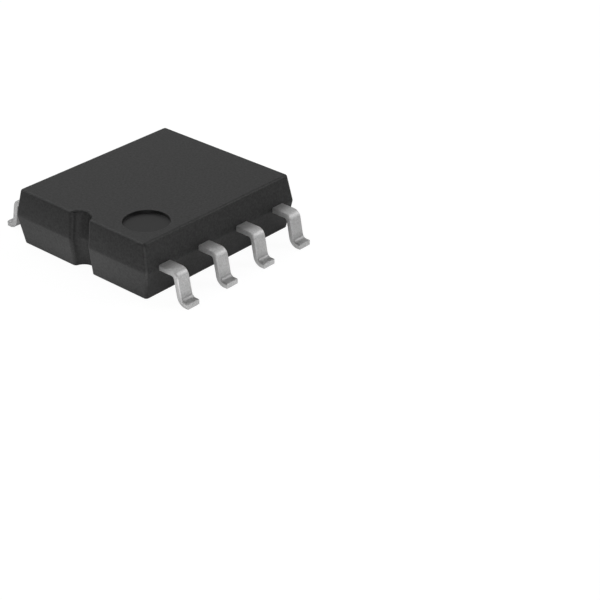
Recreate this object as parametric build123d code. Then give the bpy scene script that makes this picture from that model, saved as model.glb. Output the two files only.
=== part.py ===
from build123d import *
import math
import os

# An eight-lead analog switch chip in a moulded small-outline package.
# X runs across the package towards leads 1 to 4, Y along it with the notched
# end at -Y, Z up. The origin is the centre of the plane that the feet stand on.
# All sizes are in millimetres and all angles in degrees.

# Moulded body, measured at its parting line
body_width = 4.44
body_length = 5.0
standoff = 0.02
lower_half_height = 0.74
upper_half_height = 0.68
side_draft = 10.5
end_draft = 7.2
corner_radius = 0.08
top_edge_radius = 0.07
bottom_edge_radius = 0.02

# Half-round notch in the end face
notch_radius = 0.28
notch_depth = 0.26
notch_lip_radius = 0.1

# Round index recess beside lead 1
index_diameter = 1.1
index_depth = 0.11
index_from_side = 0.91
index_from_end = 0.93
index_wall_draft = 8.0

# Gull-wing leads, formed from flat strip
leads_per_side = 4
lead_pitch = 1.27
lead_span = 6.18
lead_width = 0.375
lead_thickness = 0.14
lead_edge_bevel = 0.025
drop_angle = 11.0
shoulder_bend_radius = 0.08
foot_bend_radius = 0.11
foot_flat_length = 0.1

# Inner end of each lead, held in the mould
finger_cover = 0.22
finger_tip_width = 0.42
finger_spread = 0.72
finger_to_paddle_gap = 0.2
lock_hole_diameter = 0.2
lock_hole_from_root = 0.2

# Plate that carries the die, stepped down below the fingers
paddle_width = 2.1
paddle_length = 2.9
paddle_corner_radius = 0.15
paddle_downset = 0.15
tie_bar_width = 0.3
tie_bar_slope_run = 0.2
tie_bar_cover = 0.12

# Silicon die and the adhesive under it
die_width = 1.4
die_length = 1.8
die_thickness = 0.22
adhesive_thickness = 0.025
adhesive_squeeze_out = 0.06

# Gold bond wires, each a chain of straight eight-sided runs
wire_diameter = 0.03
wire_sides = 8
bond_pad_pitch = 0.5
bond_pad_from_die_edge = 0.1
ball_diameter = 0.08
ball_height = 0.02
loop_height = 0.16
loop_flat_share = 0.4
neck_corner_cut = 0.05
stitch_length = 0.1
stitch_width = 0.07
stitch_thickness = 0.012
stitch_from_tip = 0.2

# Places that follow from the sizes above
parting_height = standoff + lower_half_height
top_height = parting_height + upper_half_height
half_width = body_width / 2
half_length = body_length / 2
frame_underside = parting_height - lead_thickness / 2
frame_top = frame_underside + lead_thickness
paddle_top = frame_top - paddle_downset
die_underside = paddle_top + adhesive_thickness
die_top = die_underside + die_thickness
finger_root_x = half_width - finger_cover
finger_tip_x = paddle_width / 2 + finger_to_paddle_gap


def row_place(index, spacing):
    """Y of one place in a row of leads or pads, counted from the notched end."""
    return (index - (leads_per_side - 1) / 2) * spacing


def body_outline(height_from_parting):
    """Plan of the body at a height above or below the parting line, with its notch."""
    rise = abs(height_from_parting)
    plan_width = body_width - 2 * rise * math.tan(math.radians(side_draft))
    plan_length = body_length - 2 * rise * math.tan(math.radians(end_draft))
    notch_centre_y = -plan_length / 2 + notch_depth - notch_radius
    notch = Pos(0, notch_centre_y) * Rot(0, 0, -90) * Circle(notch_radius)
    notch += Pos(0, notch_centre_y - notch_radius) * Rectangle(2 * notch_radius, 2 * notch_radius)
    plan = RectangleRounded(plan_width, plan_length, corner_radius) - notch
    end_corners = plan.vertices().group_by(Axis.Y)[0]
    lips = end_corners.sort_by(lambda corner: abs(corner.X))[:2]
    plan = fillet(lips, notch_lip_radius)
    return Pos(0, 0, parting_height + height_from_parting) * plan


def body_block():
    """Two drafted halves that meet at the parting line, with rounded rims."""
    upper = loft([body_outline(0), body_outline(upper_half_height)], ruled=True)
    lower = loft([body_outline(-lower_half_height), body_outline(0)], ruled=True)
    block = upper + lower
    top_rim = block.faces().sort_by(Axis.Z)[-1].edges()
    block = fillet(top_rim, top_edge_radius)
    bottom_rim = block.faces().sort_by(Axis.Z)[0].edges()
    return fillet(bottom_rim, bottom_edge_radius)


def index_recess():
    """Shallow round recess with a drafted wall."""
    mouth_radius = index_diameter / 2
    floor_radius = mouth_radius - index_depth * math.tan(math.radians(index_wall_draft))
    recess = Cone(floor_radius, mouth_radius, index_depth, align=(Align.CENTER, Align.CENTER, Align.MAX))
    return Pos(half_width - index_from_side, -half_length + index_from_end, top_height) * recess


def lead_path():
    """Middle line of the strip from inside the mould to the toe, in the XZ plane."""
    foot_turn = 90 - drop_angle
    foot_mid_radius = foot_bend_radius + lead_thickness / 2
    shoulder_mid_radius = shoulder_bend_radius + lead_thickness / 2
    toe_x = lead_span / 2
    foot_z = lead_thickness / 2
    foot_corner_x = toe_x - foot_flat_length - foot_mid_radius * math.tan(math.radians(foot_turn / 2))
    drop_run = (parting_height - foot_z) * math.tan(math.radians(drop_angle))
    shoulder_corner_x = foot_corner_x - drop_run
    return FilletPolyline(
        (finger_root_x, 0, parting_height),
        (shoulder_corner_x, 0, parting_height),
        (foot_corner_x, 0, foot_z),
        (toe_x, 0, foot_z),
        radius=[shoulder_mid_radius, foot_mid_radius],
    )


def lead_finger(y):
    """Flat finger inside the mould, from the strip's root to its bonding tip."""
    tip_y = y * finger_spread
    outline = Polyline(
        (finger_root_x, y - lead_width / 2),
        (finger_root_x, y + lead_width / 2),
        (finger_tip_x, tip_y + finger_tip_width / 2),
        (finger_tip_x, tip_y - finger_tip_width / 2),
        close=True,
    )
    finger = extrude(make_face(outline), lead_thickness, dir=(0, 0, 1))
    share = lock_hole_from_root / (finger_root_x - finger_tip_x)
    hole_x = finger_root_x - lock_hole_from_root
    hole_y = y + (tip_y - y) * share
    hole = Pos(hole_x, hole_y, 0) * Cylinder(
        lock_hole_diameter / 2, lead_thickness, align=(Align.CENTER, Align.CENTER, Align.MIN)
    )
    return Pos(0, 0, frame_underside) * (finger - hole)


def formed_lead(index):
    """One lead on the +X side: bent strip with eased long edges, and its finger."""
    y = row_place(index, lead_pitch)
    path = lead_path()
    section_plane = Plane(origin=path @ 0, x_dir=(0, 1, 0), z_dir=path % 0)
    section = chamfer(Rectangle(lead_width, lead_thickness).vertices(), lead_edge_bevel)
    strip = Pos(0, y, 0) * sweep(section_plane * section, path=path)
    return strip + lead_finger(y)


def die_paddle():
    """Die plate with a tie bar at each end that climbs back to the frame's level."""
    plate = extrude(RectangleRounded(paddle_width, paddle_length, paddle_corner_radius), lead_thickness)
    plate = Pos(0, 0, paddle_top - lead_thickness) * plate
    bar_root_y = paddle_length / 2 - paddle_corner_radius
    slope_start_y = paddle_length / 2
    slope_end_y = slope_start_y + tie_bar_slope_run
    bar_end_y = half_length - notch_depth - tie_bar_cover
    side = Polyline(
        (0, bar_root_y, paddle_top - lead_thickness),
        (0, slope_start_y, paddle_top - lead_thickness),
        (0, slope_end_y, frame_underside),
        (0, bar_end_y, frame_underside),
        (0, bar_end_y, frame_top),
        (0, slope_end_y, frame_top),
        (0, slope_start_y, paddle_top),
        (0, bar_root_y, paddle_top),
        close=True,
    )
    bar = extrude(make_face(side), tie_bar_width / 2, both=True, dir=(1, 0, 0))
    return plate + bar + bar.mirror(Plane.XZ)


def die_attach():
    """Adhesive layer, wider at the paddle where it is squeezed out from under the die."""
    foot = Rectangle(die_width + 2 * adhesive_squeeze_out, die_length + 2 * adhesive_squeeze_out)
    head = Pos(0, 0, adhesive_thickness) * Rectangle(die_width, die_length)
    return Pos(0, 0, paddle_top) * loft([foot, head], ruled=True)


def switch_die():
    """Sawn silicon die with the switch circuit on its upper face."""
    lowest = (Align.CENTER, Align.CENTER, Align.MIN)
    return Pos(0, 0, die_underside) * Box(die_width, die_length, die_thickness, align=lowest)


def bond_wire(index):
    """Wire from a die pad to a finger on the +X side: ball, loop and flattened stitch."""
    pad_x = die_width / 2 - bond_pad_from_die_edge
    pad_y = row_place(index, bond_pad_pitch)
    stitch_x = finger_tip_x + stitch_from_tip
    stitch_y = row_place(index, lead_pitch) * finger_spread
    run = math.hypot(stitch_x - pad_x, stitch_y - pad_y)
    heading = math.degrees(math.atan2(stitch_y - pad_y, stitch_x - pad_x))
    wire_rest_z = frame_top + wire_diameter / 2
    crest_z = die_top + loop_height
    path = Polyline(
        (0, 0, die_top + ball_height / 2),
        (0, 0, crest_z - neck_corner_cut),
        (neck_corner_cut, 0, crest_z),
        (run * loop_flat_share, 0, crest_z),
        (run - stitch_length, 0, wire_rest_z),
        (run, 0, wire_rest_z),
    )
    flat_down = 180 / wire_sides
    section = RegularPolygon(wire_diameter / 2, wire_sides, major_radius=False, rotation=flat_down)
    section = Plane(origin=path @ 0, z_dir=path % 0) * section
    wire = sweep(section, path=path, transition=Transition.RIGHT)
    lowest = (Align.CENTER, Align.CENTER, Align.MIN)
    ball = extrude(RegularPolygon(ball_diameter / 2, wire_sides, rotation=flat_down), ball_height)
    ball = Pos(0, 0, die_top) * ball
    stitch = Pos(run, 0, frame_top) * Box(stitch_length, stitch_width, stitch_thickness, align=lowest)
    return Pos(pad_x, pad_y, 0) * Rot(0, 0, heading) * (wire + ball + stitch)


def both_sides(make_piece, stem):
    """Numbered pieces down the +X side from the notch, then back up the -X side."""
    pieces = {}
    for index in range(leads_per_side):
        piece = make_piece(index)
        turned = Rot(0, 0, 180) * make_piece(index)
        pieces[f"{stem}_{index + 1}"] = piece
        pieces[f"{stem}_{index + 1 + leads_per_side}"] = turned
    return pieces


def main():
    leads = both_sides(formed_lead, "lead")
    wires = both_sides(bond_wire, "bond_wire")
    core = {"die_paddle": die_paddle(), "die_attach": die_attach(), "switch_die": switch_die()}
    body = body_block() - index_recess()
    for piece in [*leads.values(), *core.values(), *wires.values()]:
        body -= piece

    os.makedirs("parts", exist_ok=True)
    nodes = {"mould_body": body, **leads, **core, **wires}
    for name, shape in nodes.items():
        export_step(shape, f"parts/{name}.step")
        print(f"{name}: {shape.volume:.4f} mm3")


main()
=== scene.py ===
"""Looks of an eight-lead analog switch chip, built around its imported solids.

The visible body and leads are fine meshes that stand for the solids of the same
name. The inner pieces are the solids themselves with their own finishes. Sizes are
in millimetres in the dataclass fields and in metres in every mesh.
"""

from __future__ import annotations

import logging
import math
from dataclasses import dataclass, field, replace
from enum import Enum
from typing import ClassVar

import bmesh
import bpy
from mathutils import Matrix, Vector


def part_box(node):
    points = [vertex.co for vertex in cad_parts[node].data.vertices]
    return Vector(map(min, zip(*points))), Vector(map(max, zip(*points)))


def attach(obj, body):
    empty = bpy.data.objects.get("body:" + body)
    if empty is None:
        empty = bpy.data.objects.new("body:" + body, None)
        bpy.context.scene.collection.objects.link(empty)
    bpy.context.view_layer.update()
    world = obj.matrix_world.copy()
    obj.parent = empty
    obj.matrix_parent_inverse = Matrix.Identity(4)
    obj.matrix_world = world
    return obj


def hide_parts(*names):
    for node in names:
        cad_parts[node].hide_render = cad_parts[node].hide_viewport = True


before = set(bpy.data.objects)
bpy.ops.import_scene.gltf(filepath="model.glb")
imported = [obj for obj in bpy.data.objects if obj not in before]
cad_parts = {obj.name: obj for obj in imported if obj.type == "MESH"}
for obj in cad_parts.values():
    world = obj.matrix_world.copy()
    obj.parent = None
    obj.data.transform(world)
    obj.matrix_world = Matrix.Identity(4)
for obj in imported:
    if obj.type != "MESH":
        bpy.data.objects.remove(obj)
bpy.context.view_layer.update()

Colour = tuple[float, float, float, float]
Loop = list[bmesh.types.BMVert]
Socket = bpy.types.NodeSocket
Sockets = bpy.types.bpy_prop_collection
Value = float | tuple[float, ...] | Socket

MM = 0.001
BODY = "root"
LEADS_PER_ROW = 4
LEADS = 2 * LEADS_PER_ROW
QUARTER_TURN = math.pi / 2
# Edges that fold by more than this shade sharp.
CREASE = math.radians(40.0)
# Numbers of the colour sockets of a Mix node.
MIX_FACTOR, MIX_A, MIX_B, MIX_RESULT = 0, 6, 7, 2
log = logging.getLogger("switch_chip")


class Slot(Enum):
    """Material slots of the record, listed beside the inner pieces' finishes."""

    MOULD = "mould_compound"
    LEAD = "tinned_lead"
    FRAME = "plated_frame"
    ADHESIVE = "die_adhesive"
    SILICON = "silicon"
    GOLD = "gold_wire"


class Row(Enum):
    """The two rows of leads, by the sign of X on their side."""

    NEAR_RECESS = 1
    FAR_FROM_RECESS = -1


class Kind(Enum):
    """Kinds of sockets on the effect groups."""

    FLOAT = "NodeSocketFloat"
    VECTOR = "NodeSocketVector"
    COLOUR = "NodeSocketColor"


@dataclass(frozen=True)
class RimPoint:
    """One point of a plan outline with its outward normal, in millimetres."""

    x: float
    y: float
    nx: float
    ny: float

    def inset(self, distance: float) -> tuple[float, float]:
        """The point moved inwards by a distance."""
        return self.x - self.nx * distance, self.y - self.ny * distance


def arc(
    centre: tuple[float, float],
    radius: float,
    start: float,
    end: float,
    steps: int,
    outward: int = 1,
) -> list[RimPoint]:
    """Points of a circular arc with normals.

    Args:
        centre: Centre of the arc.
        radius: Its radius.
        start: Start angle in degrees.
        end: End angle in degrees.
        steps: Number of segments.
        outward: 1 where the solid is inside the arc, -1 where it is outside.

    Returns:
        The points, both ends included.
    """
    points = []
    for step in range(steps + 1):
        angle = math.radians(start + (end - start) * step / steps)
        nx, ny = math.cos(angle), math.sin(angle)
        x, y = centre[0] + radius * nx, centre[1] + radius * ny
        points.append(RimPoint(x, y, outward * nx, outward * ny))
    return points


def ring_faces(mesh: bmesh.types.BMesh, rings: list[list[Vector]]) -> list[Loop]:
    """Joins closed rings of points with quads.

    Args:
        mesh: The mesh that gets the vertices and faces.
        rings: Rings with the same number of points each.

    Returns:
        The vertices of each ring.
    """
    loops = [[mesh.verts.new(point) for point in ring] for ring in rings]
    count = len(rings[0])
    for lower, upper in zip(loops, loops[1:]):
        for i in range(count):
            j = (i + 1) % count
            mesh.faces.new((lower[i], lower[j], upper[j], upper[i]))
    return loops


def fill_between(mesh: bmesh.types.BMesh, *loops: Loop) -> None:
    """Fills the flat region that one loop bounds, or that lies between two loops.

    Args:
        mesh: The mesh that gets the faces.
        loops: One or two closed loops of its vertices.
    """
    edges = []
    for loop in loops:
        for a, b in zip(loop, loop[1:] + loop[:1]):
            edges.append(mesh.edges.get((a, b)) or mesh.edges.new((a, b)))
    bmesh.ops.triangle_fill(mesh, use_beauty=True, use_dissolve=False, edges=edges)


def finish_mesh(name: str, mesh: bmesh.types.BMesh) -> bpy.types.Object:
    """Turns a bmesh into an object in the scene, smooth but for its creases.

    Args:
        name: Name of the piece.
        mesh: Its geometry in metres, which is freed here.

    Returns:
        The new object.
    """
    bmesh.ops.recalc_face_normals(mesh, faces=mesh.faces)
    for face in mesh.faces:
        face.smooth = True
    for edge in mesh.edges:
        edge.smooth = edge.calc_face_angle(0.0) < CREASE
    data = bpy.data.meshes.new(name)
    mesh.to_mesh(data)
    mesh.free()
    piece = bpy.data.objects.new(name, data)
    bpy.context.scene.collection.objects.link(piece)
    return piece


def give_finish(piece: bpy.types.Object, material: bpy.types.Material) -> None:
    """Gives a piece its only material.

    Args:
        piece: The piece.
        material: Its material.
    """
    piece.data.materials.clear()
    piece.data.materials.append(material)


class Shader:
    """A small writer of shader nodes, for a material, a world or a node group."""

    def __init__(self, tree: bpy.types.NodeTree) -> None:
        """Keeps the tree that the nodes go into."""
        self.tree = tree

    def feed(self, target: Socket, value: Value) -> None:
        """Links an output to an input, or sets a constant on it.

        Args:
            target: The input.
            value: The output or the constant.
        """
        if isinstance(value, bpy.types.NodeSocket):
            self.tree.links.new(value, target)
        else:
            target.default_value = value

    def node(
        self, kind: str, feeds: dict[str | int, Value] | None = None, **properties: object
    ) -> bpy.types.Node:
        """Adds a node.

        Args:
            kind: Blender's name of the node.
            feeds: What its inputs get, by their name or number.
            properties: Its other settings.

        Returns:
            The node.
        """
        made = self.tree.nodes.new(kind)
        for key, value in properties.items():
            setattr(made, key, value)
        for key, value in (feeds or {}).items():
            self.feed(made.inputs[key], value)
        return made

    def math(self, operation: str, a: Value, b: Value = 0.0) -> Socket:
        """The result of an operation, by Blender's name of it, on one or two values."""
        return self.node("ShaderNodeMath", {0: a, 1: b}, operation=operation).outputs[0]

    def between(self, a: Value, b: Value, share: Value) -> Socket:
        """The first value moved towards the second by a share."""
        step = self.math("MULTIPLY", self.math("SUBTRACT", b, a), share)
        return self.math("ADD", a, step)

    def axes(self, vector: Socket) -> Sockets:
        """The X, Y and Z of a vector."""
        return self.node("ShaderNodeSeparateXYZ", {0: vector}).outputs

    def noise(self, place: Socket, scale: Value, detail: float, roughness: float = 0.5) -> Socket:
        """A noise texture's factor at a scale in cells per millimetre."""
        feeds = {"Vector": place, "Scale": scale, "Detail": detail, "Roughness": roughness}
        return self.node("ShaderNodeTexNoise", feeds).outputs["Fac"]

    def mix(self, factor: Value, a: Value, b: Value) -> Socket:
        """A colour mixed from two, by the share of the second."""
        feeds = {MIX_FACTOR: factor, MIX_A: a, MIX_B: b}
        return self.node("ShaderNodeMix", feeds, data_type="RGBA").outputs[MIX_RESULT]

    def spread(
        self,
        value: Socket,
        low: Value,
        high: Value,
        out_low: float = 0.0,
        out_high: float = 1.0,
    ) -> Socket:
        """Maps a value from one range to another and holds it inside.

        Args:
            value: The value.
            low: Where its range starts.
            high: Where its range ends.
            out_low: The result at the start.
            out_high: The result at the end.

        Returns:
            The mapped value.
        """
        feeds = {
            "Value": value,
            "From Min": low,
            "From Max": high,
            "To Min": out_low,
            "To Max": out_high,
        }
        return self.node("ShaderNodeMapRange", feeds).outputs["Result"]


class EffectGroup:
    """A shader node group that several finishes share, built once."""

    name: ClassVar[str] = ""
    inputs: ClassVar[tuple[tuple[str, Kind, float | tuple[float, ...]], ...]] = ()
    outputs: ClassVar[tuple[tuple[str, Kind], ...]] = ()

    @classmethod
    def tree(cls) -> bpy.types.NodeTree:
        """Builds the group's tree on first use and finds it again later.

        Returns:
            The tree.
        """
        made = bpy.data.node_groups.get(cls.name)
        if made:
            return made
        made = bpy.data.node_groups.new(cls.name, "ShaderNodeTree")
        for label, kind, default in cls.inputs:
            socket = made.interface.new_socket(label, in_out="INPUT", socket_type=kind.value)
            socket.default_value = default
        for label, kind in cls.outputs:
            made.interface.new_socket(label, in_out="OUTPUT", socket_type=kind.value)
        shader = Shader(made)
        entry = shader.node("NodeGroupInput")
        leave = shader.node("NodeGroupOutput")
        cls.wire(shader, entry.outputs, leave.inputs)
        return made

    @classmethod
    def wire(cls, shader: Shader, given: Sockets, wanted: Sockets) -> None:
        """Builds the inside of the group; each effect has its own.

        Args:
            shader: Writer of the group's nodes.
            given: The group's inputs.
            wanted: Its outputs.
        """
        raise NotImplementedError

    @classmethod
    def place(cls, shader: Shader, **values: Value) -> Sockets:
        """Puts the group into a material.

        Args:
            shader: The material's writer.
            values: Input values by name, with underscores for spaces.

        Returns:
            The outputs of the group node.
        """
        feeds = {key.replace("_", " "): value for key, value in values.items()}
        return shader.node("ShaderNodeGroup", feeds, node_tree=cls.tree()).outputs

    @staticmethod
    def millimetres(shader: Shader) -> Socket:
        """Finds the place on the piece, in millimetres, from its own coordinates.

        Args:
            shader: Writer of the nodes.

        Returns:
            The place.
        """
        place = shader.node("ShaderNodeTexCoord").outputs["Object"]
        feeds = {0: place, "Scale": 1.0 / MM}
        return shader.node("ShaderNodeVectorMath", feeds, operation="SCALE").outputs[0]


class FineGrain(EffectGroup):
    """Fine relief of a mould or of plating, as a height."""

    name = "fine_grain"
    inputs = (
        ("Coarse", Kind.FLOAT, 12.0),
        ("Fine", Kind.FLOAT, 40.0),
        ("Coarse Share", Kind.FLOAT, 0.5),
    )
    outputs = (("Height", Kind.FLOAT),)
    coarse_detail: ClassVar[float] = 3.0
    fine_detail: ClassVar[float] = 2.0
    fine_roughness: ClassVar[float] = 0.6

    @classmethod
    def wire(cls, shader: Shader, given: Sockets, wanted: Sockets) -> None:
        """Two noises of different size, mixed by the share.

        Args:
            shader: Writer of the group's nodes.
            given: The group's inputs.
            wanted: Its outputs.
        """
        place = cls.millimetres(shader)
        coarse = shader.noise(place, given["Coarse"], cls.coarse_detail)
        fine = shader.noise(place, given["Fine"], cls.fine_detail, cls.fine_roughness)
        shader.feed(wanted["Height"], shader.between(fine, coarse, given["Coarse Share"]))


class CloudyTone(EffectGroup):
    """Slow variation of tone over a surface, with small flecks."""

    name = "cloudy_tone"
    inputs = (
        ("Dark", Kind.COLOUR, (0.2, 0.2, 0.2, 1.0)),
        ("Light", Kind.COLOUR, (0.4, 0.4, 0.4, 1.0)),
        ("Cloud Scale", Kind.FLOAT, 1.5),
        ("Fleck Scale", Kind.FLOAT, 30.0),
        ("Fleck Share", Kind.FLOAT, 0.3),
    )
    outputs = (("Colour", Kind.COLOUR), ("Cloud", Kind.FLOAT))
    cloud_detail: ClassVar[float] = 4.0
    cloud_roughness: ClassVar[float] = 0.55
    fleck_detail: ClassVar[float] = 2.0
    fleck_roughness: ClassVar[float] = 0.7
    contrast: ClassVar[tuple[float, float]] = (0.32, 0.68)

    @classmethod
    def wire(cls, shader: Shader, given: Sockets, wanted: Sockets) -> None:
        """A soft cloud and a fine fleck, mixed and then used to mix two tones.

        Args:
            shader: Writer of the group's nodes.
            given: The group's inputs.
            wanted: Its outputs.
        """
        place = cls.millimetres(shader)
        cloud = shader.noise(place, given["Cloud Scale"], cls.cloud_detail, cls.cloud_roughness)
        fleck = shader.noise(place, given["Fleck Scale"], cls.fleck_detail, cls.fleck_roughness)
        both = shader.between(cloud, fleck, given["Fleck Share"])
        shade = shader.spread(both, *cls.contrast)
        shader.feed(wanted["Colour"], shader.mix(shade, given["Dark"], given["Light"]))
        shader.feed(wanted["Cloud"], cloud)


class MarkMask(EffectGroup):
    """The flat floor of a round moulded mark."""

    name = "mark_mask"
    inputs = (
        ("Centre", Kind.VECTOR, (0.0, 0.0, 0.0)),
        ("Radius", Kind.FLOAT, 0.5),
        ("Softness", Kind.FLOAT, 0.015),
    )
    outputs = (("Mask", Kind.FLOAT),)

    @classmethod
    def wire(cls, shader: Shader, given: Sockets, wanted: Sockets) -> None:
        """One inside a ball about the floor's centre, with a soft edge.

        Args:
            shader: Writer of the group's nodes.
            given: The group's inputs.
            wanted: Its outputs.
        """
        ends = {0: cls.millimetres(shader), 1: given["Centre"]}
        reach = shader.node("ShaderNodeVectorMath", ends, operation="DISTANCE").outputs["Value"]
        edge = shader.math("ADD", given["Radius"], given["Softness"])
        shader.feed(wanted["Mask"], shader.spread(reach, given["Radius"], edge, 1.0, 0.0))


class PaintedShadeMask(EffectGroup):
    """Painted shade and reflection of the dark body on a lead: darker in the foot's crook and
    beside the body.
    """

    name = "painted_shade_mask"
    inputs = (
        ("Level", Kind.FLOAT, 0.36),
        ("Fade", Kind.FLOAT, 0.1),
        ("Root Reach", Kind.FLOAT, 2.7),
        ("Root Fade", Kind.FLOAT, 0.45),
    )
    outputs = (("Mask", Kind.FLOAT),)
    upward_range: ClassVar[tuple[float, float]] = (0.1, 0.35)

    @classmethod
    def wire(cls, shader: Shader, given: Sockets, wanted: Sockets) -> None:
        """Low times upward, or near the middle plane in X, each with a soft edge.

        Args:
            shader: Writer of the group's nodes.
            given: The group's inputs.
            wanted: Its outputs.
        """
        place = shader.axes(cls.millimetres(shader))
        facing = shader.axes(shader.node("ShaderNodeNewGeometry").outputs["Normal"])
        bottom = shader.math("SUBTRACT", given["Level"], given["Fade"])
        low = shader.spread(place["Z"], bottom, given["Level"], 1.0, 0.0)
        crook = shader.math("MULTIPLY", low, shader.spread(facing["Z"], *cls.upward_range))
        start = shader.math("SUBTRACT", given["Root Reach"], given["Root Fade"])
        away = shader.math("ABSOLUTE", place["X"])
        root = shader.spread(away, start, given["Root Reach"], 1.0, 0.0)
        shader.feed(wanted["Mask"], shader.math("MAXIMUM", crook, root))


def grey(value: float, warmth: float = 0.0) -> Colour:
    """A grey with a little warmth or coolness, as a linear colour."""
    return value * (1.0 + warmth), value, value * (1.0 - warmth), 1.0


@dataclass(frozen=True)
class MouldMark:
    """A round mark whose flat floor is darker than the top around it.

    The floor takes the finish's dark tone. Its place and radius are in millimetres.
    """

    centre: tuple[float, float, float]
    radius: float


@dataclass(frozen=True)
class Finish:
    """What every finish of a solid surface shares.

    Each one is a Principled BSDF whose tone, roughness and relief come from the
    shared effect groups. Scales and grains are in cells per millimetre, the grain's
    height is in millimetres.
    """

    name: str
    dark: Colour
    light: Colour
    metallic: float = 0.0
    roughness_low: float = 0.4
    roughness_high: float = 0.6
    specular_level: float = 0.5
    cloud_scale: float = 1.5
    fleck_scale: float = 30.0
    fleck_share: float = 0.3
    grain_coarse: float = 12.0
    grain_fine: float = 40.0
    grain_coarse_share: float = 0.5
    grain_height: float = 0.002
    grain_strength: float = 0.5
    mark: MouldMark | None = None
    # Painted shade: how far a lead darkens towards the tone below, in its crook and beside the
    # body.
    painted_shade_share: float = 0.0
    painted_shade_tone: Colour = grey(0.2)
    cloud_range: ClassVar[tuple[float, float]] = (0.3, 0.7)

    def material(self) -> bpy.types.Material:
        """Builds the finish's material on first use and finds it again later.

        Returns:
            The material.
        """
        made = bpy.data.materials.get(self.name)
        if made:
            return made
        made = bpy.data.materials.new(self.name)
        made.use_nodes = True
        shader = Shader(made.node_tree)
        tone = CloudyTone.place(
            shader,
            Dark=self.dark,
            Light=self.light,
            Cloud_Scale=self.cloud_scale,
            Fleck_Scale=self.fleck_scale,
            Fleck_Share=self.fleck_share,
        )
        grain = FineGrain.place(
            shader,
            Coarse=self.grain_coarse,
            Fine=self.grain_fine,
            Coarse_Share=self.grain_coarse_share,
        )
        rough = (self.roughness_low, self.roughness_high)
        relief = {
            "Strength": self.grain_strength,
            "Distance": self.grain_height * MM,
            "Height": grain["Height"],
        }
        surface = made.node_tree.nodes["Principled BSDF"].inputs
        shader.feed(surface["Metallic"], self.metallic)
        shader.feed(surface["Specular IOR Level"], self.specular_level)
        shader.feed(surface["Base Color"], self.colour(shader, tone["Colour"]))
        shader.feed(surface["Roughness"], shader.spread(tone["Cloud"], *self.cloud_range, *rough))
        shader.feed(surface["Normal"], shader.node("ShaderNodeBump", relief).outputs["Normal"])
        return made

    def colour(self, shader: Shader, tone: Socket) -> Socket:
        """Lays the mark's darker floor and the painted shade over the tone, if there are any.

        Args:
            shader: The material's writer.
            tone: The tone of the surface without them.

        Returns:
            The colour.
        """
        if self.mark:
            floor = MarkMask.place(shader, Centre=self.mark.centre, Radius=self.mark.radius)
            tone = shader.mix(floor["Mask"], tone, self.dark)
        # Painted shade: darkens the tone in the foot's crook and beside the body.
        if self.painted_shade_share:
            painted_shade_weight = shader.math("MULTIPLY", PaintedShadeMask.place(shader)["Mask"], self.painted_shade_share)
            tone = shader.mix(painted_shade_weight, tone, self.painted_shade_tone)
        return tone


MOULD_COMPOUND = Finish(
    name="black_filled_epoxy",
    dark=grey(0.001),
    light=grey(0.023),
    roughness_low=0.515,
    roughness_high=0.53,
    cloud_scale=1.2,
    fleck_scale=18.0,
    fleck_share=0.9,
    grain_coarse=14.0,
    grain_fine=30.0,
    grain_height=0.0014,
    grain_strength=0.6,
)
TIN_PLATE = Finish(
    name="matte_tin_plate",
    dark=grey(0.5, 0.003),
    light=grey(0.72, 0.001),
    metallic=0.615,
    roughness_low=0.46,
    roughness_high=0.54,
    cloud_scale=5.0,
    fleck_scale=26.0,
    fleck_share=0.7,
    grain_fine=30.0,
    # Painted shade in the foot's crook and beside the body.
    painted_shade_share=0.4,
)
SILVER_PLATE = Finish(
    name="silver_spot_plate",
    dark=grey(0.66, 0.01),
    light=grey(0.8, 0.015),
    metallic=1.0,
    roughness_low=0.28,
    roughness_high=0.4,
    cloud_scale=3.0,
)
DIE_ADHESIVE = Finish(
    name="silver_filled_adhesive",
    dark=grey(0.3, 0.02),
    light=grey(0.48, 0.02),
    metallic=0.35,
    roughness_low=0.45,
    roughness_high=0.65,
    cloud_scale=4.0,
    fleck_scale=50.0,
    fleck_share=0.7,
    grain_height=0.004,
)
SILICON = Finish(
    name="passivated_silicon",
    dark=(0.035, 0.04, 0.062, 1.0),
    light=(0.06, 0.068, 0.1, 1.0),
    metallic=0.4,
    roughness_low=0.12,
    roughness_high=0.2,
    cloud_scale=6.0,
    fleck_scale=60.0,
    fleck_share=0.5,
    grain_height=0.0005,
)
GOLD_WIRE = Finish(
    name="drawn_gold_wire",
    dark=(0.72, 0.46, 0.12, 1.0),
    light=(0.9, 0.62, 0.22, 1.0),
    metallic=1.0,
    roughness_low=0.2,
    roughness_high=0.3,
    cloud_scale=20.0,
    fleck_scale=80.0,
    grain_height=0.0006,
)


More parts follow.
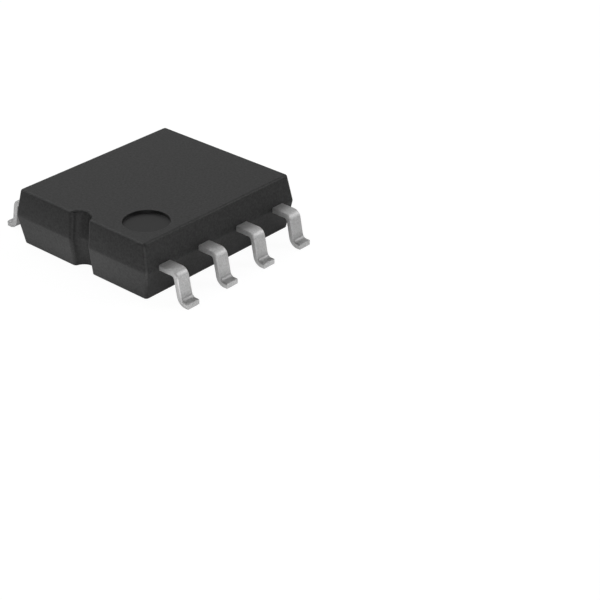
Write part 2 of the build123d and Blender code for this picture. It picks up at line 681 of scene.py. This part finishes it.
@dataclass
class MouldedBody:
    """The black body: two drafted halves, a notched end and an index recess.

    All sizes are in millimetres and all drafts in degrees; heights and places come
    from the solid's box.
    """

    side_draft: float = 10.5
    end_draft: float = 7.2
    lower_half_height: float = 0.74
    upper_half_height: float = 0.68
    corner_radius: float = 0.08
    top_edge_radius: float = 0.07
    bottom_edge_radius: float = 0.02
    notch_radius: float = 0.28
    notch_depth: float = 0.26
    lip_radius: float = 0.1
    recess_diameter: float = 1.1
    recess_depth: float = 0.075
    recess_from_side: float = 0.91
    recess_from_end: float = 0.93
    recess_draft: float = 8.0
    recess_floor_radius: float = 0.01
    recess_mouth_radius: float = 0.014
    parting_round: float = 0.03
    guard: float = 0.01
    arc_steps: int = 12
    notch_steps: int = 36
    rim_steps: int = 8
    recess_steps: int = 96
    node: str = "mould_body"
    low: Vector = field(init=False)
    high: Vector = field(init=False)

    def __post_init__(self) -> None:
        """Reads the solid's box, in millimetres."""
        low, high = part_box(self.node)
        self.low = low / MM
        self.high = high / MM

    @property
    def parting_z(self) -> float:
        """Height of the parting line."""
        share = self.lower_half_height / (self.lower_half_height + self.upper_half_height)
        return self.low.z + (self.high.z - self.low.z) * share

    @property
    def recess_centre(self) -> tuple[float, float]:
        """Middle of the index recess, seen from above."""
        return self.high.x - self.recess_from_side, self.low.y + self.recess_from_end

    def outline(self, z: float) -> list[RimPoint]:
        """Plan of the body at a height.

        Args:
            z: The height in millimetres.

        Returns:
            The outline's points, anticlockwise from the right of the far end.
        """
        rise = abs(z - self.parting_z)
        half_x = self.high.x - rise * math.tan(math.radians(self.side_draft))
        half_y = self.high.y - rise * math.tan(math.radians(self.end_draft))
        corner, lip, notch = self.corner_radius, self.lip_radius, self.notch_radius
        corner_x, corner_y = half_x - corner, half_y - corner
        notch_y = -half_y + self.notch_depth - notch
        lip_y = -half_y + lip
        lip_x = math.sqrt((notch + lip) ** 2 - (lip_y - notch_y) ** 2)
        slope = math.degrees(math.atan2(lip_y - notch_y, lip_x))
        steps = self.arc_steps
        runs = (
            arc((corner_x, corner_y), corner, 0, 90, steps),
            arc((-corner_x, corner_y), corner, 90, 180, steps),
            arc((-corner_x, -corner_y), corner, 180, 270, steps),
            arc((-lip_x, lip_y), lip, 270, 360 - slope, steps),
            arc((0.0, notch_y), notch, 180 - slope, slope, self.notch_steps, -1)[1:-1],
            arc((lip_x, lip_y), lip, 180 + slope, 270, steps),
            arc((corner_x, -corner_y), corner, 270, 360, steps),
        )
        return [point for run in runs for point in run]

    def rim(self, upper: bool, edge_radius: float) -> list[list[Vector]]:
        """Rings of the rounded rim where the walls meet the top or the underside.

        Args:
            upper: True for the top, False for the underside.
            edge_radius: Radius of the rounded edge.

        Returns:
            Rings from the wall to the flat, with a guard ring on the flat.
        """
        flat_z = self.high.z if upper else self.low.z
        sign = 1 if upper else -1
        height = abs(flat_z - self.parting_z)
        edge = self.outline(flat_z)
        middle = self.outline(self.parting_z)
        rings: list[list[Vector]] = [[] for _ in range(self.rim_steps + 2)]
        for at_edge, at_middle in zip(edge, middle):
            out = Vector((at_edge.nx, at_edge.ny, 0.0))
            corner = Vector((at_edge.x, at_edge.y, flat_z))
            shift = Vector((at_middle.x - at_edge.x, at_middle.y - at_edge.y, 0.0))
            draft = math.atan(shift.dot(out) / height)
            tangent = edge_radius * math.tan((QUARTER_TURN - draft) / 2)
            sideways = (shift - out * shift.dot(out)) * (tangent * math.cos(draft) / height)
            centre = corner - out * tangent - Vector((0, 0, sign * edge_radius))
            for step in range(self.rim_steps + 1):
                share = step / self.rim_steps
                turn = draft + (QUARTER_TURN - draft) * share
                point = centre + out * edge_radius * math.cos(turn)
                point.z += sign * edge_radius * math.sin(turn)
                rings[step].append(point + sideways * (1 - share))
            rings[-1].append(corner - out * (tangent + self.guard))
        return rings

    def parting(self) -> list[list[Vector]]:
        """Rings of the softly rounded parting line, with a guard ring on each wall.

        A parabola joins the two walls. It meets each one at the rounding's reach.

        Returns:
            The rings, from the lower wall to the upper.
        """
        reach, wall = self.parting_round, self.parting_round + self.guard
        rings = []
        for offset in (-wall, -reach, -reach / 2, 0.0, reach / 2, reach, wall):
            rise = (reach**2 + offset**2) / (2 * reach)
            plan = self.outline(self.parting_z + rise)
            rings.append([Vector((p.x, p.y, self.parting_z + offset)) for p in plan])
        return rings

    def recess_profile(self) -> list[tuple[float, float]]:
        """Half section of the index recess, from a guard point on the top inwards.

        Returns:
            Radius and height over the top of each point, down to the flat floor.
        """
        draft = math.radians(self.recess_draft)
        lip, bowl = self.recess_mouth_radius, self.recess_floor_radius
        mouth = self.recess_diameter / 2
        floor = mouth - self.recess_depth * math.tan(draft)
        shares = [step / self.rim_steps for step in range(self.rim_steps + 1)]
        profile = [(mouth + lip + self.guard, 0.0)]
        for share in shares:
            turn = QUARTER_TURN - (QUARTER_TURN - draft) * share
            profile.append((mouth + lip - lip * math.cos(turn), lip * math.sin(turn) - lip))
        for share in shares:
            turn = draft + (QUARTER_TURN - draft) * share
            rise = bowl - bowl * math.sin(turn)
            profile.append((floor - bowl + bowl * math.cos(turn), rise - self.recess_depth))
        profile.append((floor - bowl - self.guard, -self.recess_depth))
        return profile

    def recess(self, mesh: bmesh.types.BMesh) -> Loop:
        """The index recess: a rounded mouth, a drafted wall and a flat floor.

        Args:
            mesh: The mesh that gets its faces.

        Returns:
            The outer ring on the body's top, to join the top to.
        """
        middle_x, middle_y = self.recess_centre
        rings = []
        for radius, rise in self.recess_profile():
            ring = []
            for step in range(self.recess_steps):
                angle = 2 * math.pi * step / self.recess_steps
                x, y = middle_x + radius * math.cos(angle), middle_y + radius * math.sin(angle)
                ring.append(Vector((x, y, self.high.z + rise)) * MM)
            rings.append(ring)
        loops = ring_faces(mesh, rings)
        fill_between(mesh, loops[-1])
        return loops[0]

    def build(self) -> bpy.types.Object:
        """Builds the body's mesh in the solid's place.

        Returns:
            The body.
        """
        mesh = bmesh.new()
        rings = self.rim(False, self.bottom_edge_radius)[::-1]
        rings += self.parting()
        rings += self.rim(True, self.top_edge_radius)
        loops = ring_faces(mesh, [[point * MM for point in ring] for ring in rings])
        fill_between(mesh, loops[0])
        fill_between(mesh, loops[-1], self.recess(mesh))
        return finish_mesh("visible_mould_body", mesh)

    def dress(self, piece: bpy.types.Object) -> None:
        """Gives the body its finish and lets it stand for the solid.

        Args:
            piece: The body.
        """
        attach(piece, BODY)
        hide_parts(self.node)
        floor = (*self.recess_centre, self.high.z - self.recess_depth)
        mark = MouldMark(floor, self.recess_diameter / 2)
        give_finish(piece, replace(MOULD_COMPOUND, mark=mark).material())


@dataclass(frozen=True)
class PathPoint:
    """A place on the middle line of a lead, in the XZ plane.

    The angle is the direction of travel, in radians below the horizontal.
    """

    x: float
    z: float
    angle: float


@dataclass
class FormedLead:
    """One gull-wing lead: the bent strip outside the mould and its inner finger.

    All sizes are in millimetres. It is built on the +X side and the leads of the
    other row are turned over to theirs.
    """

    number: int
    width: float = 0.375
    thickness: float = 0.14
    pitch: float = 1.27
    drop_angle: float = 11.0
    shoulder_bend: float = 0.08
    foot_bend: float = 0.11
    foot_flat: float = 0.1
    outer_edge: float = 0.034
    inner_edge: float = 0.02
    toe_edge: float = 0.014
    finger_cover: float = 0.22
    finger_spread: float = 0.72
    tip_width: float = 0.42
    lock_hole: float = 0.2
    lock_hole_from_root: float = 0.2
    bend_steps: int = 14
    edge_steps: int = 5
    hole_steps: int = 32
    low: Vector = field(init=False)
    high: Vector = field(init=False)
    row: Row = field(init=False)

    def __post_init__(self) -> None:
        """Reads the solid's box in millimetres, turned to the +X row."""
        low, high = (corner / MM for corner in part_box(self.node))
        self.row = Row.NEAR_RECESS if self.number <= LEADS_PER_ROW else Row.FAR_FROM_RECESS
        if self.row is Row.FAR_FROM_RECESS:
            low, high = Vector((-high.x, -high.y, low.z)), Vector((-low.x, -low.y, high.z))
        self.low, self.high = low, high

    @property
    def node(self) -> str:
        """Name of the solid that this lead stands for."""
        return f"lead_{self.number}"

    @property
    def y(self) -> float:
        """Y of the strip's middle, once turned to the +X row."""
        place = (self.number - 1) % LEADS_PER_ROW
        return (place - (LEADS_PER_ROW - 1) / 2) * self.pitch

    @property
    def root_x(self) -> float:
        """X where the strip meets the finger, inside the mould."""
        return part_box("mould_body")[1].x / MM - self.finger_cover

    def path(self) -> list[PathPoint]:
        """Middle line of the strip from the finger to the toe.

        Returns:
            Its points: the root, both bends and the rounded toe.
        """
        turn = math.radians(90 - self.drop_angle)
        foot_radius = self.foot_bend + self.thickness / 2
        shoulder_radius = self.shoulder_bend + self.thickness / 2
        top_z = self.high.z - self.thickness / 2
        foot_z = self.low.z + self.thickness / 2
        heel_x = self.high.x - self.foot_flat
        foot_corner_x = heel_x - foot_radius * math.tan(turn / 2)
        drop_run = (top_z - foot_z) * math.tan(math.radians(self.drop_angle))
        bend_x = foot_corner_x - drop_run - shoulder_radius * math.tan(turn / 2)
        points = [PathPoint(self.root_x, top_z, 0.0)]
        for step in range(self.bend_steps + 1):
            angle = turn * step / self.bend_steps
            x = bend_x + shoulder_radius * math.sin(angle)
            z = top_z - shoulder_radius * (1 - math.cos(angle))
            points.append(PathPoint(x, z, angle))
        for step in range(self.bend_steps + 1):
            angle = turn * (1 - step / self.bend_steps)
            x = heel_x - foot_radius * math.sin(angle)
            z = foot_z + foot_radius * (1 - math.cos(angle))
            points.append(PathPoint(x, z, angle))
        for step in range(self.edge_steps + 1):
            short = self.toe_edge * (1 - math.sin(step / self.edge_steps * QUARTER_TURN))
            points.append(PathPoint(self.high.x - short, foot_z, 0.0))
        return points

    def section(self) -> list[RimPoint]:
        """Section of the strip: across in x, up in y, with two edge radii.

        Returns:
            The rounded rectangle's points, anticlockwise.
        """
        half_width, half_height = self.width / 2, self.thickness / 2
        points: list[RimPoint] = []
        for side, level, start, radius in (
            (1, 1, 0, self.outer_edge),
            (-1, 1, 90, self.outer_edge),
            (-1, -1, 180, self.inner_edge),
            (1, -1, 270, self.inner_edge),
        ):
            centre = (side * (half_width - radius), level * (half_height - radius))
            points += arc(centre, radius, start, start + 90, self.edge_steps)
        return points

    def strip(self, mesh: bmesh.types.BMesh) -> None:
        """Adds the bent strip, closed at the root and rounded at the toe.

        Args:
            mesh: The mesh that gets it.
        """
        section = self.section()
        path = self.path()
        toe_start = len(path) - self.edge_steps - 1
        rings = []
        for index, at in enumerate(path):
            step = max(0, index - toe_start)
            inset = self.toe_edge * (1 - math.cos(step / self.edge_steps * QUARTER_TURN))
            ring = []
            for point in section:
                across, up = point.inset(inset)
                x = at.x + up * math.sin(at.angle)
                z = at.z + up * math.cos(at.angle)
                ring.append(Vector((x, self.y + across, z)) * MM)
            rings.append(ring)
        loops = ring_faces(mesh, rings)
        fill_between(mesh, loops[0])
        fill_between(mesh, loops[-1])

    def finger(self, mesh: bmesh.types.BMesh) -> None:
        """Adds the flat finger inside the mould, with its locking hole.

        Args:
            mesh: The mesh that gets it.
        """
        tip_x = self.low.x
        tip_y = self.y * self.finger_spread
        share = self.lock_hole_from_root / (self.root_x - tip_x)
        hole = (self.root_x - self.lock_hole_from_root, self.y + (tip_y - self.y) * share)
        outline = [
            (self.root_x, self.y - self.width / 2),
            (self.root_x, self.y + self.width / 2),
            (tip_x, tip_y + self.tip_width / 2),
            (tip_x, tip_y - self.tip_width / 2),
        ]
        rim = [(p.x, p.y) for p in arc(hole, self.lock_hole / 2, 0, 360, self.hole_steps)[:-1]]
        levels = (self.high.z - self.thickness, self.high.z)
        outer, inner = (
            ring_faces(mesh, [[Vector((x, y, z)) * MM for x, y in plan] for z in levels])
            for plan in (outline, rim)
        )
        for outer_loop, inner_loop in zip(outer, inner):
            fill_between(mesh, outer_loop, inner_loop)

    def build(self) -> bpy.types.Object:
        """Builds the lead's mesh on its own side of the package.

        Returns:
            The lead.
        """
        mesh = bmesh.new()
        self.strip(mesh)
        self.finger(mesh)
        if self.row is Row.FAR_FROM_RECESS:
            half_turn = Matrix.Rotation(math.pi, 3, "Z")
            bmesh.ops.rotate(mesh, cent=(0, 0, 0), matrix=half_turn, verts=mesh.verts)
        return finish_mesh(f"visible_{self.node}", mesh)

    def dress(self, piece: bpy.types.Object) -> None:
        """Gives the lead its finish and lets it stand for the solid.

        Args:
            piece: The lead.
        """
        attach(piece, BODY)
        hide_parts(self.node)
        give_finish(piece, TIN_PLATE.material())


@dataclass
class InnerPieces:
    """The sealed pieces: their solids show as they are, with their own finishes."""

    wires: int = LEADS

    def dress(self) -> list[bpy.types.Object]:
        """Gives each inner solid its finish.

        Returns:
            The solids that were dressed.
        """
        finishes = {
            "die_paddle": (SILVER_PLATE, Slot.FRAME),
            "die_attach": (DIE_ADHESIVE, Slot.ADHESIVE),
            "switch_die": (SILICON, Slot.SILICON),
        }
        for number in range(1, self.wires + 1):
            finishes[f"bond_wire_{number}"] = (GOLD_WIRE, Slot.GOLD)
        dressed = []
        for node, (finish, slot) in finishes.items():
            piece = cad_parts[node]
            give_finish(piece, finish.material())
            dressed.append(piece)
        return dressed


@dataclass(frozen=True)
class SkyLobe:
    """One broad soft light of the room, as a lobe of the sky.

    Azimuths are in degrees from +X towards +Y, elevations in degrees.
    """

    azimuth: float
    elevation: float
    strength: float
    sharpness: float = 8.0

    @property
    def axis(self) -> tuple[float, float, float]:
        """Unit vector towards the brightest part.

        Returns:
            The vector's X, Y and Z.
        """
        azimuth, elevation = math.radians(self.azimuth), math.radians(self.elevation)
        level = math.cos(elevation)
        return math.cos(azimuth) * level, math.sin(azimuth) * level, math.sin(elevation)


@dataclass(frozen=True)
class SheetLamp:
    """A lamp under the table's sheet, seen as a soft oval patch of glow.

    Places and reaches are in millimetres on the sheet.
    """

    x: float
    y: float
    reach_x: float
    reach_y: float
    strength: float


@dataclass
class Studio:
    """The floor, the lights and the camera at the photograph's viewing angle.

    Sizes are in millimetres and angles in degrees. What is measured in the
    photograph is in its pixels.
    """

    floor_size: float = 1200.0
    floor_tone: float = 0.8
    floor_roughness: float = 0.8
    floor_white: float = 1.11
    floor_white_share: float = 0.85
    backdrop: float = 0.97
    lobes: tuple[SkyLobe, ...] = (
        SkyLobe(130.8, 40.0, 0.84),
        SkyLobe(190.8, 12.0, 1.0),
        SkyLobe(70.8, 12.0, 0.4),
        SkyLobe(310.8, 12.0, 0.35),
        SkyLobe(52.6, 34.5, 4.2, 30.0),
        SkyLobe(170.8, 54.0, 4.4, 60.0),
        SkyLobe(221.5, 41.0, 2.4, 30.0),
        SkyLobe(310.8, 60.0, 1.4, 30.0),
        SkyLobe(310.8, 10.0, 1.45, 30.0),
    )
    lamps: tuple[SheetLamp, ...] = (
        SheetLamp(0.0, -3.0, 2.4, 0.8, 0.83),
        SheetLamp(-1.8, -3.2, 1.2, 0.8, 0.19),
        SheetLamp(3.2, 0.0, 1.0, 2.6, 0.45),
        SheetLamp(9.0, 0.0, 3.0, 5.0, 0.78),
        SheetLamp(-3.6, -3.4, 1.2, 1.0, 0.39),
        SheetLamp(3.6, -3.6, 0.9, 0.9, 2.8),
        SheetLamp(5.4, -5.3, 1.8, 1.8, 2.4),
        SheetLamp(7.5, -8.0, 2.0, 2.0, 2.1),
    )
    azimuth: float = 40.83
    elevation: float = 30.03
    roll: float = 0.438
    focal_px: float = 1643.0
    distance: float = 39.51
    aim_height: float = 0.8
    aim_px: tuple[float, float] = (156.2, 205.55)
    frame_px: float = 600.0
    sensor: float = 36.0
    nearest: float = 1.0
    farthest: float = 5000.0

    def floor(self) -> bpy.types.Object:
        """A plain pale table, an acrylic sheet with lamps under it.

        The lamps' glow lights the chip from below. The camera sees the sheet
        evenly white, with a trace of the chip's shadow.

        Returns:
            The floor.
        """
        mesh = bmesh.new()
        bmesh.ops.create_grid(mesh, x_segments=1, y_segments=1, size=self.floor_size * MM / 2)
        table = finish_mesh("studio_floor", mesh)
        material = bpy.data.materials.new("pale_table")
        material.use_nodes = True
        shader = Shader(material.node_tree)
        seen = shader.node("ShaderNodeLightPath").outputs["Is Camera Ray"]
        unseen = shader.math("SUBTRACT", 1.0, seen)
        surface = material.node_tree.nodes["Principled BSDF"]
        for name, value in (
            ("Base Color", grey(self.floor_tone)),
            ("Roughness", self.floor_roughness),
            ("Specular IOR Level", 0.0),
            ("Emission Color", grey(1.0)),
            ("Emission Strength", shader.math("MULTIPLY", self.glow(shader), unseen)),
        ):
            shader.feed(surface.inputs[name], value)
        white = shader.node("ShaderNodeEmission", {"Strength": self.floor_white})
        share = shader.math("MULTIPLY", seen, self.floor_white_share)
        blend = {0: share, 1: surface.outputs[0], 2: white.outputs[0]}
        shown = shader.node("ShaderNodeMixShader", blend).outputs[0]
        shader.feed(material.node_tree.nodes["Material Output"].inputs["Surface"], shown)
        table.data.materials.append(material)
        return table

    def glow(self, shader: Shader) -> Socket:
        """Adds up the lamps' soft oval patches at a place on the sheet.

        Args:
            shader: The sheet's writer.

        Returns:
            The strength of the glow.
        """
        place = shader.axes(EffectGroup.millimetres(shader))
        total: Value = 0.0
        for lamp in self.lamps:
            squares = []
            for axis, middle, reach in (
                ("X", lamp.x, lamp.reach_x),
                ("Y", lamp.y, lamp.reach_y),
            ):
                away = shader.math("DIVIDE", shader.math("SUBTRACT", place[axis], middle), reach)
                squares.append(shader.math("POWER", away, 2.0))
            distance = shader.math("ADD", *squares)
            patch = shader.math("EXPONENT", shader.math("MULTIPLY", distance, -1.0))
            total = shader.math("ADD", total, shader.math("MULTIPLY", patch, lamp.strength))
        return total

    def room(self) -> bpy.types.World:
        """A white room whose light falls from a few broad soft directions.

        Returns:
            The world.
        """
        world = bpy.data.worlds.new("white_room")
        world.use_nodes = True
        shader = Shader(world.node_tree)
        towards = shader.node("ShaderNodeTexCoord").outputs["Generated"]
        light: Value = 0.0
        for lobe in self.lobes:
            ends = {0: towards, 1: lobe.axis}
            facing = shader.node("ShaderNodeVectorMath", ends, operation="DOT_PRODUCT")
            ahead = shader.math("MAXIMUM", facing.outputs["Value"], 0.0)
            shape = shader.math("POWER", ahead, lobe.sharpness)
            light = shader.math("ADD", light, shader.math("MULTIPLY", shape, lobe.strength))
        seen = shader.node("ShaderNodeLightPath").outputs["Is Camera Ray"]
        background = world.node_tree.nodes["Background"].inputs
        shader.feed(background["Color"], grey(1.0))
        shader.feed(background["Strength"], shader.between(light, self.backdrop, seen))
        bpy.context.scene.world = world
        return world

    def camera(self) -> bpy.types.Object:
        """A camera that sees the chip where the photograph shows it.

        Returns:
            The camera.
        """
        angles = (self.azimuth, self.elevation, self.roll)
        azimuth, elevation, roll = (math.radians(angle) for angle in angles)
        level = Vector((math.cos(azimuth), math.sin(azimuth), 0.0))
        back = Vector(
            (
                math.sin(azimuth) * math.cos(elevation),
                -math.cos(azimuth) * math.cos(elevation),
                math.sin(elevation),
            )
        )
        upright = back.cross(level)
        right = level * math.cos(roll) + upright * math.sin(roll)
        up = upright * math.cos(roll) - level * math.sin(roll)
        per_px = self.distance / self.focal_px
        across = (self.aim_px[0] - self.frame_px / 2) * per_px
        above = (self.frame_px / 2 - self.aim_px[1]) * per_px
        aim = Vector((0, 0, self.aim_height))
        place = aim - right * across - up * above + back * self.distance
        data = bpy.data.cameras.new("camera")
        data.sensor_width = self.sensor
        data.lens = self.focal_px / self.frame_px * self.sensor
        data.clip_start = self.nearest * MM
        data.clip_end = self.farthest * MM
        camera = bpy.data.objects.new("camera", data)
        rotation = Matrix((right, up, back)).transposed()
        camera.matrix_world = Matrix.Translation(place * MM) @ rotation.to_4x4()
        bpy.context.scene.collection.objects.link(camera)
        bpy.context.scene.camera = camera
        return camera

    def build(self) -> None:
        """Builds the studio and sets how tones are shown."""
        self.floor()
        self.room()
        self.camera()
        view = bpy.context.scene.view_settings
        view.view_transform = "Standard"
        view.look = "None"


def main() -> None:
    """Builds the chip and its studio."""
    logging.basicConfig(level=logging.INFO, format="%(name)s: %(message)s")
    Studio().build()
    assemblies: list[MouldedBody | FormedLead] = [MouldedBody()]
    assemblies += [FormedLead(number) for number in range(1, LEADS + 1)]
    for assembly in assemblies:
        piece = assembly.build()
        assembly.dress(piece)
        log.info("%s: %d faces for %s", piece.name, len(piece.data.polygons), assembly.node)
    for piece in InnerPieces().dress():
        log.info("%s: solid dressed", piece.name)


if __name__ == "__main__":
    main()
